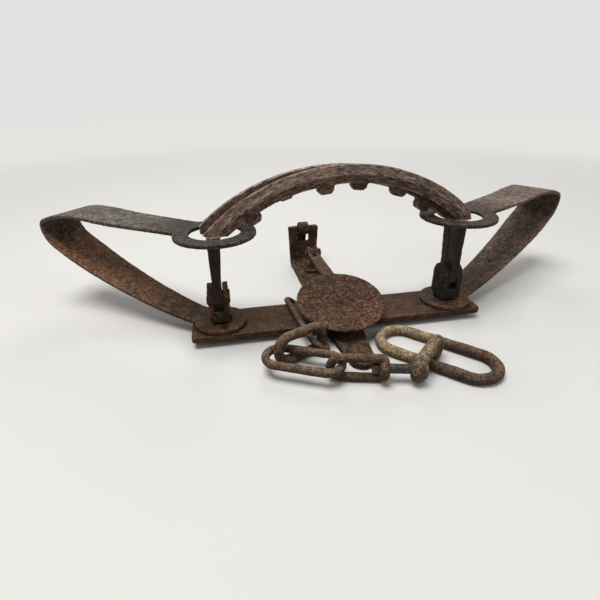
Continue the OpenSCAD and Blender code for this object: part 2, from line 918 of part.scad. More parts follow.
module swivel_pin() {
    neck = bow_length - boss_long - side_gap;
    color("#8d7a62")
        at_bow() {
            x_bar(swivel_head, neck - swivel_head_long, neck);
            x_bar(swivel_radius, neck, bow_length + swivel_reach + hook_eye_long / 2);
        }
}

module ring_hook() {
    half = hook_span / 2;
    straight = hook_length - hook_span;
    color("#a08a66")
        difference() {
            union() {
                translate([hook_left[0], hook_left[1], bow_z])
                    rotate([90, 0, hook_yaw])
                        translate([half - hook_back, 0, 0]) {
                            bent_bar(half, hook_bar, 90, 270);
                            x_bar(hook_bar, 0, straight, half);
                            x_bar(hook_bar, 0, hook_stub, -half);
                            translate([hook_stub, -half, 0])
                                sphere(r = hook_bar);
                            translate([straight, 0, 0]) {
                                bent_bar(half, hook_bar, -90, 90);
                                x_bar(hook_bar, -hook_stub, 0, -half);
                                translate([-hook_stub, -half, 0])
                                    sphere(r = hook_bar);
                            }
                        }
                at_bow()
                    translate([bow_length + swivel_reach, 0, 0])
                        x_bar(hook_eye, -hook_eye_long / 2, hook_eye_long / 2);
            }
            at_bow()
                x_bar(
                    swivel_radius + fixed_gap, bow_length,
                    bow_length + swivel_reach + hook_eye_long
                );
        }
}

module drag_ring() {
    color("#94805e")
        translate([ring_centre[0], ring_centre[1], ring_bar + 0.2])
            rotate([0, 0, ring_yaw])
                translate([-ring_length / 2, 0, 0])
                    flat_link(ring_length, ring_span, ring_bar);
}

base_bar();
on_cross() cross_bar();
on_cross() cross_rivets();
left_post();
right_post();
left_pivot_pins();
right_pivot_pins();
pan_bracket();
pan_bracket_rivets();
pan_pin();
front_jaw();
back_jaw();
left_spring_lower();
left_spring_upper();
right_spring_lower();
right_spring_upper();
on_cross() dog();
pan_plate();
pan_shank();
pan_rivet();
base_loop();
coupling_ring();
long_link();
swivel_bow();
swivel_pin();
ring_hook();
drag_ring();
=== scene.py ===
"""Looks of an old double long-spring leghold trap, shut, with its short drag chain.

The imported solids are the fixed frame. Each forged piece is a copy of its solid whose edges are
worn round and whose faces are pitted; the plain chain links are round bar swept along their bends.
Every piece then gets the rusted finish that it has in life. Metres, in the frame of the solids.
"""

from __future__ import annotations

import json
import logging
import math
from dataclasses import dataclass
from enum import Enum
from typing import Sequence

import bmesh
import bpy
import numpy as np
from mathutils import Matrix, Vector

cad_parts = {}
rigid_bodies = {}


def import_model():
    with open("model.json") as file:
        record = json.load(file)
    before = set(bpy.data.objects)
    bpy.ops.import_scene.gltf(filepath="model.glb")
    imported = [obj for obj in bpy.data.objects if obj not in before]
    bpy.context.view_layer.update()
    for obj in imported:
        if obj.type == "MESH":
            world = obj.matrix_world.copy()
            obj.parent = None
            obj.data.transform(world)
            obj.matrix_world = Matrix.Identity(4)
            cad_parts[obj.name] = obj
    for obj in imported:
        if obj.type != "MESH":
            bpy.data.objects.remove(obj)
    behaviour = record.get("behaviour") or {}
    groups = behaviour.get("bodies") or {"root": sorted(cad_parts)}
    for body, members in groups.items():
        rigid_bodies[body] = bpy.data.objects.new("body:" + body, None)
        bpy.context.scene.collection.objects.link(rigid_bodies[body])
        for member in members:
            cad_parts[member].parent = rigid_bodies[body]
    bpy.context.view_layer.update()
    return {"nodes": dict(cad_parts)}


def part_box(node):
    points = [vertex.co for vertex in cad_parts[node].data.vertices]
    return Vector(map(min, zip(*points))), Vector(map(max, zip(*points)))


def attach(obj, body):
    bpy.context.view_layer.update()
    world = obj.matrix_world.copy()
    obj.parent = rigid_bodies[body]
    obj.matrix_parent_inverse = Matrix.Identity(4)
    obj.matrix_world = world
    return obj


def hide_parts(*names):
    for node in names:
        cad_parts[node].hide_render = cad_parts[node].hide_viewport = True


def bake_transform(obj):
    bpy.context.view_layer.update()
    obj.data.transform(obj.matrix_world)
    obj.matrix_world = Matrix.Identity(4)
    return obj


LOG = logging.getLogger("leghold_trap")
MM = 0.001

# Attributes of a piece's points that its finish reads.
REST = "rest_place"
UPPER_ARM = "upper_arm"
LOW_EYE = "low_eye"
HIGH_EYE = "high_eye"
# Share of the painted shade on the jaws' upright arms.
JAW_ARM_PAINTED_SHADE = "jaw_arm_painted_shade"
PALE_END = "pale_end"

# The sRGB curve: slope of its straight part, where that ends, and the offset and power of the rest.
SRGB_SLOPE = 12.92
SRGB_KNEE = 0.04045
SRGB_OFFSET = 0.055
SRGB_POWER = 2.4

# Sockets of Blender's Mix node when it mixes colours.
MIX_SHARE, MIX_UNDER, MIX_OVER, MIX_RESULT = 0, 6, 7, 2

Colour = tuple[float, float, float, float]
Band = tuple[float, float]
Place = tuple[float, float, float]


def linear(code: str) -> Colour:
    """Turns an sRGB hex colour into linear red, green, blue and alpha.

    Args:
        code: The colour as "#rrggbb".

    Returns:
        The linear colour, opaque.
    """
    channels = (int(code[i : i + 2], 16) / 255 for i in (1, 3, 5))
    red, green, blue = (
        c / SRGB_SLOPE if c <= SRGB_KNEE else ((c + SRGB_OFFSET) / (1 + SRGB_OFFSET)) ** SRGB_POWER
        for c in channels
    )
    return red, green, blue, 1.0


def add_node(
    tree: bpy.types.NodeTree, kind: str, inputs: dict | None = None, **settings: object
) -> bpy.types.Node:
    """Adds one node to a tree, with its settings, values and links.

    Args:
        tree: The tree that gets the node.
        kind: Blender's name for the kind of node.
        inputs: Values by the input's name or number; a socket is linked, anything else is set.
        **settings: Properties of the node itself, set before its inputs.

    Returns:
        The new node.
    """
    node = tree.nodes.new(kind)
    for key, value in settings.items():
        setattr(node, key, value)
    for key, value in (inputs or {}).items():
        if isinstance(value, bpy.types.NodeSocket):
            tree.links.new(value, node.inputs[key])
        else:
            node.inputs[key].default_value = value
    return node


def ramp(
    tree: bpy.types.NodeTree, value: object, band: Band, to: tuple[object, object] = (0.0, 1.0)
) -> bpy.types.NodeSocket:
    """Spreads a range of a value over another range, and holds it at both ends.

    Args:
        tree: The tree that gets the node.
        value: The value.
        band: Where its range starts and ends.
        to: The result at the start and at the end, as values or sockets.

    Returns:
        The socket that gives the result.
    """
    (low, high), (first, last) = band, to
    inputs = {"Value": value, "From Min": low, "From Max": high, "To Min": first, "To Max": last}
    return add_node(tree, "ShaderNodeMapRange", inputs).outputs[0]


def maths(tree: bpy.types.NodeTree, operation: str, *values: object) -> bpy.types.NodeSocket:
    """Works one value out of others.

    Args:
        tree: The tree that gets the node.
        operation: Blender's name for the operation.
        *values: What it works on, as values or sockets.

    Returns:
        The socket that gives the result.
    """
    return add_node(tree, "ShaderNodeMath", dict(enumerate(values)), operation=operation).outputs[0]


def mix_colours(
    tree: bpy.types.NodeTree, share: object, under: object, over: object, blend: str = "MIX"
) -> bpy.types.NodeSocket:
    """Lays one colour over another, as far as a share says.

    Args:
        tree: The tree that gets the node.
        share: How far, as a value or a socket.
        under: The colour below, as a colour or a socket.
        over: The colour above.
        blend: Blender's name for the way that they mix.

    Returns:
        The socket that gives the mixed colour.
    """
    inputs = {MIX_SHARE: share, MIX_UNDER: under, MIX_OVER: over}
    node = add_node(tree, "ShaderNodeMix", inputs, data_type="RGBA", blend_type=blend)
    return node.outputs[MIX_RESULT]


def blank_material(name: str) -> bpy.types.Material:
    """Makes a material with an empty tree.

    Args:
        name: Name of the material.

    Returns:
        The material.
    """
    material = bpy.data.materials.new(name)
    material.use_nodes = True
    material.node_tree.nodes.clear()
    return material


class Cue(Enum):
    """What a layer of rust follows on a surface."""

    BLOTCH = "broad noise"
    PATCH = "middling noise"
    PIT = "fine noise"
    EDGE = "how far the surface stands out at an edge, or in at a corner"
    UPWARD = "how far the surface looks up"


@dataclass(frozen=True)
class Layer:
    """One layer of old rust, laid over the ones before it.

    Attributes:
        tone: The tone that it has, by its name in the palette.
        share: The palette's value that says how strongly it covers.
        cue: What it follows on the surface.
        band: The cue's value where it starts, and where it is full.
        broken_by: What breaks it up, or nothing.
        broken: The breaking cue's value where least of it is left, and where all of it is.
        least: How much is left where it is broken most.
    """

    tone: str
    share: str
    cue: Cue
    band: Band
    broken_by: Cue | None = None
    broken: Band = (0.0, 1.0)
    least: float = 0.0


LAYERS = (
    Layer("bloom", "bloom_share", Cue.BLOTCH, (0.45, 0.57)),
    Layer("dust", "dust_share", Cue.PATCH, (0.5, 0.6), Cue.PIT, (0.42, 0.56), 0.15),
    # Dust on faces that look up, partly painted top light: upper faces lighter as if lit from above.
    Layer("dust", "top_share", Cue.UPWARD, (0.25, 0.95), Cue.PATCH, (0.4, 0.58), 0.3),
    Layer("shade", "shade_share", Cue.PATCH, (0.49, 0.39)),
    Layer("shade", "pit_share", Cue.PIT, (0.48, 0.39)),
    # Painted shade: inner corners darkened as if shade fell in them.
    Layer("shade", "corner_share", Cue.EDGE, (0.492, 0.43)),
    Layer("rubbed", "rubbed_share", Cue.EDGE, (0.506, 0.55), Cue.PIT, (0.36, 0.56), 0.2),
)
TONES = ("body", "shade", "bloom", "dust", "rubbed")

# Noise of the rust's pattern: rounds of detail, how rough those are, and how far it is stirred.
NOISE_DETAIL = {Cue.BLOTCH: 5.0, Cue.PATCH: 6.0, Cue.PIT: 3.0}
NOISE_ROUGHNESS = 0.66
NOISE_STIR = 0.4
# Fine noise from dark grain to light, and middling noise from glossy to dull.
GRAIN_BAND = (0.38, 0.63)
GLOSS_BAND = (0.35, 0.65)
# Height of the patches in the relief, as a multiple of the pits' height.
PATCH_RELIEF = 1.2


@dataclass(frozen=True)
class Finish:
    """A finish that is made as a material once.

    Attributes:
        name: Name of the finish.
    """

    name: str

    def material(self) -> bpy.types.Material:
        """Returns the finish's material, and makes it when it is first asked for."""
        found = bpy.data.materials.get(self.name)
        if found:
            return found
        material = blank_material(self.name)
        self.paint(material.node_tree)
        return material

    def paint(self, tree: bpy.types.NodeTree) -> None:
        """Builds the finish in a material's empty tree.

        Args:
            tree: The material's tree.
        """
        raise NotImplementedError


@dataclass(frozen=True)
class Rust(Finish):
    """One palette of old rust on iron, with the sizes of its pattern.

    Attributes:
        body: Main tone.
        shade: Tone of pits and hollows that hold dirt, and of the painted shade in inner corners.
        bloom: Orange or red bloom in broad blotches.
        dust: Dry pale scale in patches, also laid as dust and painted top light on faces that look
            up.
        rubbed: Tone of edges that hands and chain have rubbed.
        bloom_share: How strongly the bloom covers the main tone.
        dust_share: How strongly the scale covers it.
        shade_share: How strongly dirt fills the hollows between patches.
        pit_share: How dark the small pits are.
        corner_share: How strongly painted shade darkens the inner corners.
        rubbed_share: How strongly the edges are rubbed.
        top_share: How strongly dust and painted top light lie on faces that look up.
        blotch_mm: Size of the blotches.
        patch_mm: Size of the patches.
        pit_mm: Size of the pits.
        gloss: Lowest and highest roughness.
        metallic: How much bare metal shows.
        relief_mm: Height of the rust's relief.
        grain: How far the finest grain darkens and lightens the tones.
        sheen: Strength of its reflections, low because rust is porous.
    """

    body: str
    shade: str
    bloom: str
    dust: str
    rubbed: str
    bloom_share: float = 0.65
    dust_share: float = 0.5
    shade_share: float = 0.7
    pit_share: float = 0.75
    corner_share: float = 0.85
    rubbed_share: float = 0.55
    top_share: float = 0.25
    blotch_mm: float = 32.0
    patch_mm: float = 11.0
    pit_mm: float = 3.2
    gloss: Band = (0.6, 0.9)
    metallic: float = 0.0
    relief_mm: float = 0.45
    grain: Band = (0.55, 1.4)
    sheen: float = 0.2

    def tones(self) -> dict[str, Colour]:
        """Returns the five tones as linear colours."""
        return {tone: linear(getattr(self, tone)) for tone in TONES}

    def paint(self, tree: bpy.types.NodeTree) -> None:
        """Builds the finish for a piece whose pattern lies on its own coordinates.

        Args:
            tree: The material's tree.
        """
        place = add_node(tree, "ShaderNodeTexCoord").outputs["Object"]
        self.surface(tree, place, self.tones())

    def cues(self, tree: bpy.types.NodeTree, place: bpy.types.NodeSocket) -> dict:
        """Adds what the layers follow.

        Args:
            tree: The material's tree.
            place: Coordinates of the surface, in metres.

        Returns:
            The socket that gives each cue.
        """
        made = {}
        sizes = {Cue.BLOTCH: self.blotch_mm, Cue.PATCH: self.patch_mm, Cue.PIT: self.pit_mm}
        for cue, size in sizes.items():
            inputs = {
                "Vector": place,
                "Scale": 1 / (size * MM),
                "Detail": NOISE_DETAIL[cue],
                "Roughness": NOISE_ROUGHNESS,
                "Distortion": NOISE_STIR,
            }
            made[cue] = add_node(tree, "ShaderNodeTexNoise", inputs).outputs[0]
        shape = add_node(tree, "ShaderNodeNewGeometry").outputs
        made[Cue.EDGE] = shape["Pointiness"]
        made[Cue.UPWARD] = add_node(tree, "ShaderNodeSeparateXYZ", {0: shape["Normal"]}).outputs["Z"]
        return made

    def surface(self, tree: bpy.types.NodeTree, place: bpy.types.NodeSocket, tones: dict) -> None:
        """Builds the rusted surface in a material's tree.

        Args:
            tree: The material's tree.
            place: Coordinates of the surface, in metres.
            tones: The five tones, as colours or as sockets that give them.
        """
        cues = self.cues(tree, place)
        colour = tones["body"]
        for layer in LAYERS:
            share = ramp(tree, cues[layer.cue], layer.band, (0.0, getattr(self, layer.share)))
            if layer.broken_by:
                left = ramp(tree, cues[layer.broken_by], layer.broken, (layer.least, 1.0))
                share = maths(tree, "MULTIPLY", share, left)
            colour = mix_colours(tree, share, colour, tones[layer.tone])
        grain = ramp(tree, cues[Cue.PIT], GRAIN_BAND, self.grain)
        grey = add_node(tree, "ShaderNodeCombineColor", {0: grain, 1: grain, 2: grain}).outputs[0]
        colour = mix_colours(tree, 1.0, colour, grey, "MULTIPLY")
        height = maths(tree, "MULTIPLY_ADD", cues[Cue.PATCH], PATCH_RELIEF, cues[Cue.PIT])
        relief = {"Height": height, "Distance": self.relief_mm * MM, "Strength": 1.0}
        shader = add_node(
            tree,
            "ShaderNodeBsdfPrincipled",
            {
                "Base Color": colour,
                "Metallic": self.metallic,
                "Specular IOR Level": self.sheen,
                "Roughness": ramp(tree, cues[Cue.PATCH], GLOSS_BAND, self.gloss),
                "Normal": add_node(tree, "ShaderNodeBump", relief).outputs[0],
            },
        )
        add_node(tree, "ShaderNodeOutputMaterial", {"Surface": shader.outputs[0]})


@dataclass(frozen=True)
class Zoned(Finish):
    """A finish that weathered to other palettes in some zones of the piece.

    Attributes:
        base: Palette and pattern of most of the piece.
        zones: The other palettes, each with the attribute that says where it lies.
    """

    base: Rust
    zones: tuple[tuple[str, Rust], ...]

    def paint(self, tree: bpy.types.NodeTree) -> None:
        """Builds the finish; its pattern lies on the places kept with the piece's points.

        Args:
            tree: The material's tree.
        """
        place = add_node(tree, "ShaderNodeAttribute", attribute_name=REST).outputs["Vector"]
        tones: dict = self.base.tones()
        for attribute, palette in self.zones:
            share = add_node(tree, "ShaderNodeAttribute", attribute_name=attribute).outputs["Fac"]
            for key, tone in palette.tones().items():
                tones[key] = mix_colours(tree, share, tones[key], tone)
        self.base.surface(tree, place, tones)


def mark_zones(piece: bpy.types.Object, pattern: np.ndarray, zones: dict[str, np.ndarray]) -> None:
    """Keeps a piece's pattern places and the shares of its zones as attributes of its points.

    Args:
        piece: The piece.
        pattern: Where each point lies in the finish's pattern, in metres, one row a point.
        zones: The share of each zone, one value a point, by the attribute's name.
    """
    mesh = piece.data
    rows = pattern.astype(np.float32).ravel()
    mesh.attributes.new(REST, "FLOAT_VECTOR", "POINT").data.foreach_set("vector", rows)
    for name, share in zones.items():
        values = np.clip(share, 0.0, 1.0).astype(np.float32)
        mesh.attributes.new(name, "FLOAT", "POINT").data.foreach_set("value", values)


def places(piece: bpy.types.Object) -> np.ndarray:
    """Reads the places of a piece's points.

    Args:
        piece: The piece.

    Returns:
        The places, in metres, one row a point.
    """
    rows = np.empty(len(piece.data.vertices) * 3, np.float32)
    piece.data.vertices.foreach_get("co", rows)
    return rows.reshape(-1, 3)


# Flat bar from the roller, lying on damp ground: tan dust over orange rust.
FLAT_BAR = Rust(
    "rusted_flat_bar", "#30241d", "#100b08", "#583924", "#715942", "#635242",
    bloom_share=0.8, dust_share=0.55, shade_share=0.4, pit_share=0.5, blotch_mm=40.0, pit_mm=2.4,
)
# Rivets and pins, hammered over and dark with old oil.
RIVETS = Rust(
    "rusted_rivet_iron", "#352820", "#140e09", "#523626", "#665444", "#786656",
    patch_mm=6.0, pit_mm=2.4,
)
# Left post, the damp side: coarse red-brown crust.
LEFT_POST = Rust(
    "crusted_post_iron", "#39271e", "#130c09", "#5f3925", "#7a5a44", "#684d3a",
    bloom_share=0.75, patch_mm=7.0, relief_mm=0.6,
)
# Right post: smooth dark brown patina.
RIGHT_POST = Rust(
    "dark_post_iron", "#26211e", "#0e0c0a", "#392c23", "#51473c", "#6a5e53",
    bloom_share=0.5, dust_share=0.4,
)
# Dog, shank and bracket, forged by hand: brown scale.
FORGED = Rust("forged_strap_iron", "#3c2d24", "#150e0a", "#573b29", "#715c49", "#7d6752")
# Jaws: dark brown iron with the long fibres of forged bar, rubbed lighter along the arch.
JAW_ARCH = Rust(
    "dark_jaw_arch", "#5a4942", "#1e1614", "#735747", "#a08872", "#c2ab97",
    bloom_share=0.5, dust_share=0.35, shade_share=0.3, pit_share=0.55, rubbed_share=0.9,
    top_share=0.35, patch_mm=7.0, pit_mm=2.2, gloss=(0.5, 0.8),
)
# The upright arms: painted shade, the same iron darker than the arch as if in shadow.
JAW_ARMS_PAINTED_SHADE = Rust("jaw_arms_painted_shade", "#221914", "#0b0705", "#2e211a", "#40332a", "#5c4d42")
JAWS = Zoned("dark_jaw_iron", JAW_ARCH, ((JAW_ARM_PAINTED_SHADE, JAW_ARMS_PAINTED_SHADE),))
# Pan: deeply pitted red-brown rust.
PAN = Rust(
    "pitted_pan_iron", "#463225", "#170e09", "#583722", "#816049", "#755844",
    bloom_share=0.5, shade_share=0.3, pit_share=0.85, pit_mm=3.0, relief_mm=1.1, grain=(0.35, 1.65),
)
# Chain bar, rubbed by its neighbours: brown, with tan dust and painted top light along its top.
CHAIN = Rust(
    "rubbed_chain_iron", "#453429", "#1b130e", "#573d2c", "#846d58", "#8d7660",
    dust_share=0.3, shade_share=0.3, pit_share=0.35, rubbed_share=0.7, top_share=0.7,
    patch_mm=8.0, pit_mm=2.4, grain=(0.7, 1.3),
)
# Swivel pin: dark steel, worn smooth where it turns.
SWIVEL = Rust(
    "worn_swivel_steel", "#2b2420", "#100c0a", "#413229", "#584d43", "#857a6e",
    gloss=(0.35, 0.6), metallic=0.4, sheen=0.5,
)
# Hook: brown, its top paler tan, as dust and as painted top light.
HOOK = Rust(
    "scaled_hook_iron", "#544434", "#1e160e", "#664d38", "#a18c70", "#a38f72",
    dust_share=0.4, shade_share=0.3, pit_share=0.5, top_share=0.8,
    patch_mm=8.0, pit_mm=2.6, grain=(0.65, 1.35),
)
# Drag ring: brown like the hook, one end under pale yellow scale.
RING_BROWN = Rust(
    "drag_ring_brown", "#403027", "#17100b", "#503829", "#79624e", "#7f6853",
    dust_share=0.3, shade_share=0.3, pit_share=0.45, top_share=0.6,
    patch_mm=9.0, pit_mm=2.6, grain=(0.65, 1.35),
)
RING_PALE = Rust("drag_ring_scale", "#86755a", "#3a2a1b", "#8f6e46", "#b5a588", "#b5a68c")
RING = Zoned("scaled_ring_iron", RING_BROWN, ((PALE_END, RING_PALE),))
# Left spring: tempered steel leaf, orange below, grey above, dark at the eye, crusted at the foot.
LEFT_LOWER = Rust(
    "left_lower_leaf", "#694b38", "#3a271b", "#8a5d3d", "#947659", "#8b705a",
    pit_share=0.45, blotch_mm=48.0,
)
LEFT_UPPER = Rust("left_upper_leaf", "#5b564e", "#302a24", "#655343", "#847e72", "#80735f")
LEFT_EYE = Rust("left_eye_darker", "#35302b", "#161210", "#43362c", "#585147", "#6b6156")
LEFT_FOOT = Rust("left_foot_crust", "#281b14", "#0a0605", "#523320", "#7a5a41", "#644a37")
LEFT_SPRING = Zoned(
    "left_spring_leaf",
    LEFT_LOWER,
    ((UPPER_ARM, LEFT_UPPER), (HIGH_EYE, LEFT_EYE), (LOW_EYE, LEFT_FOOT)),
)
# Right spring: the same steel on the drier side, browner, with a paler foot.
RIGHT_LOWER = Rust(
    "right_lower_leaf", "#614f44", "#352921", "#785b47", "#8c7a67", "#8f7b67",
    pit_share=0.4, blotch_mm=48.0,
)
RIGHT_UPPER = Rust("right_upper_leaf", "#6a5b55", "#3a2f28", "#765d4d", "#8f7e71", "#948376")
RIGHT_EYE = Rust("right_eye_darker", "#382b26", "#140e0c", "#46332a", "#5b4b41", "#6e5f55")
RIGHT_FOOT = Rust("right_foot_crust", "#3c2e25", "#160f0b", "#573c2b", "#705c48", "#7a6550")
RIGHT_SPRING = Zoned(
    "right_spring_leaf",
    RIGHT_LOWER,
    ((UPPER_ARM, RIGHT_UPPER), (HIGH_EYE, RIGHT_EYE), (LOW_EYE, RIGHT_FOOT)),
)


@dataclass(frozen=True)
class Wear:
    """How far a piece has been worn and eaten.

    Attributes:
        grid_mm: Spacing of the worn copy's mesh.
        rounds: Rounds of smoothing, which round its edges.
        pit_depth_mm: Depth of the rust pits.
        pit_size_mm: Size of the pits.
        dent_depth_mm: Depth of broad dents.
        dent_size_mm: Size of the dents.
    """

    grid_mm: float = 0.9
    rounds: int = 4
    pit_depth_mm: float = 0.45
    pit_size_mm: float = 5.0
    dent_depth_mm: float = 0.5
    dent_size_mm: float = 45.0


HEAVY = Wear(grid_mm=0.75, pit_depth_mm=0.7, pit_size_mm=4.0)
SMALL = Wear(
    grid_mm=0.5, rounds=3, pit_depth_mm=0.25, pit_size_mm=2.5, dent_depth_mm=0.2, dent_size_mm=8.0
)
FINE = Wear(
    grid_mm=0.6, pit_depth_mm=0.35, pit_size_mm=4.0, dent_depth_mm=0.35, dent_size_mm=20.0
)

# What eats a surface: the noise where it starts and is deepest, and the noise's detail.
EATEN = {"Pit": ((0.5, 0.74), 3.0), "Dent": ((0.3, 0.7), 1.0)}
EATEN_SIZES = ("Pit depth", "Pit size", "Dent depth", "Dent size")
# A hand-forged bar: the waves in its thickness, where they are thinnest, and the sides of its mesh.
WAVE_MM = 22.0
WAVE_DETAIL = 1.0
WAVE_BAND = (0.35, 0.65)
WAVE_THINNEST = 0.94
BAR_SIDES = 32
# A worn copy: points closer than this are one, and how far a round of smoothing moves a point.
WELD_MM = 0.001
SMOOTHING = 0.5
# Distance between the seeds of two pieces, in the noise's fourth dimension.
SEED_STEP = 3.7


@dataclass
class ShapeTree:
    """A Geometry Nodes tree whose inputs are set by name.

    Attributes:
        tree: The tree itself.
        keys: Identifier of each input, by its name.
    """

    tree: bpy.types.NodeTree
    keys: dict[str, str]

    @classmethod
    def start(cls, name: str, sizes: Sequence[str]) -> tuple[ShapeTree, bpy.types.Node]:
        """Starts a tree with a shape, some sizes, a seed and a material as inputs.

        Args:
            name: Name of the tree.
            sizes: Names of its sizes.

        Returns:
            The tree and its input node.
        """
        tree = bpy.data.node_groups.new(name, "GeometryNodeTree")
        face = tree.interface
        face.new_socket("Shape", in_out="OUTPUT", socket_type="NodeSocketGeometry")
        face.new_socket("Shape", in_out="INPUT", socket_type="NodeSocketGeometry")
        kinds = {key: "NodeSocketFloat" for key in (*sizes, "Seed")}
        kinds["Finish"] = "NodeSocketMaterial"
        keys = {
            key: face.new_socket(key, in_out="INPUT", socket_type=kind).identifier
            for key, kind in kinds.items()
        }
        return cls(tree, keys), add_node(tree, "NodeGroupInput")

    def end(self, shape: bpy.types.NodeSocket, finish: bpy.types.NodeSocket) -> None:
        """Closes the tree: real faces, smooth, with the finish on them.

        Args:
            shape: The finished shape.
            finish: The material input.
        """
        real = add_node(self.tree, "GeometryNodeRealizeInstances", {"Geometry": shape}).outputs[0]
        smooth = add_node(self.tree, "GeometryNodeSetShadeSmooth", {"Geometry": real}).outputs[0]
        inputs = {"Geometry": smooth, "Material": finish}
        dressed = add_node(self.tree, "GeometryNodeSetMaterial", inputs).outputs[0]
        add_node(self.tree, "NodeGroupOutput", {"Shape": dressed})

    def put_on(self, piece: bpy.types.Object, values: dict[str, object]) -> None:
        """Puts the tree on a piece as its last modifier.

        Args:
            piece: The piece.
            values: The inputs' values by name.
        """
        modifier = piece.modifiers.new(self.tree.name, "NODES")
        modifier.node_group = self.tree
        for key, value in values.items():
            modifier[self.keys[key]] = value


def weathering_tree() -> ShapeTree:
    """Makes the tree that eats pits and broad dents into a surface, always inwards.

    Returns:
        The tree, with its depths and sizes as inputs.
    """
    made, given = ShapeTree.start("weathering", EATEN_SIZES)
    tree = made.tree
    place = add_node(tree, "GeometryNodeInputPosition").outputs[0]
    depth = 0.0
    for kind, (band, detail) in EATEN.items():
        inputs = {
            "Vector": place,
            "W": given.outputs["Seed"],
            "Scale": maths(tree, "DIVIDE", 1.0, given.outputs[f"{kind} size"]),
            "Detail": detail,
        }
        noise = add_node(tree, "ShaderNodeTexNoise", inputs, noise_dimensions="4D").outputs[0]
        share = ramp(tree, noise, band)
        depth = maths(tree, "MULTIPLY_ADD", share, given.outputs[f"{kind} depth"], depth)
    inward = maths(tree, "MULTIPLY", depth, -1.0)
    normal = add_node(tree, "GeometryNodeInputNormal").outputs[0]
    step = add_node(tree, "ShaderNodeVectorMath", {0: normal, "Scale": inward}, operation="SCALE")
    moved = {"Geometry": given.outputs["Shape"], "Offset": step.outputs[0]}
    eaten = add_node(tree, "GeometryNodeSetPosition", moved).outputs[0]
    made.end(eaten, given.outputs["Finish"])
    return made


def bar_tree(weathering: ShapeTree) -> ShapeTree:
    """Makes the tree that sweeps a hand-forged round bar along a line, and weathers it.

    Args:
        weathering: The tree that eats the pits.

    Returns:
        The tree, with the bar's radius as an input.
    """
    made, given = ShapeTree.start("forged_bar", ("Bar radius", *EATEN_SIZES))
    tree = made.tree
    line = add_node(tree, "GeometryNodeMeshToCurve", {"Mesh": given.outputs["Shape"]}).outputs[0]
    inputs = {
        "Vector": add_node(tree, "GeometryNodeInputPosition").outputs[0],
        "W": given.outputs["Seed"],
        "Scale": 1 / (WAVE_MM * MM),
        "Detail": WAVE_DETAIL,
    }
    noise = add_node(tree, "ShaderNodeTexNoise", inputs, noise_dimensions="4D").outputs[0]
    thick = ramp(tree, noise, WAVE_BAND, (WAVE_THINNEST, 1.0))
    circle = {"Resolution": BAR_SIDES, "Radius": given.outputs["Bar radius"]}
    ring = add_node(tree, "GeometryNodeCurvePrimitiveCircle", circle, mode="RADIUS").outputs[0]
    sweep = {"Curve": line, "Profile Curve": ring, "Scale": thick, "Fill Caps": True}
    bar = add_node(tree, "GeometryNodeCurveToMesh", sweep).outputs[0]
    passed = {key: given.outputs[key] for key in (*EATEN_SIZES, "Seed", "Finish")}
    eaten = add_node(tree, "GeometryNodeGroup", {"Shape": bar, **passed}, node_tree=weathering.tree)
    made.end(eaten.outputs[0], given.outputs["Finish"])
    return made


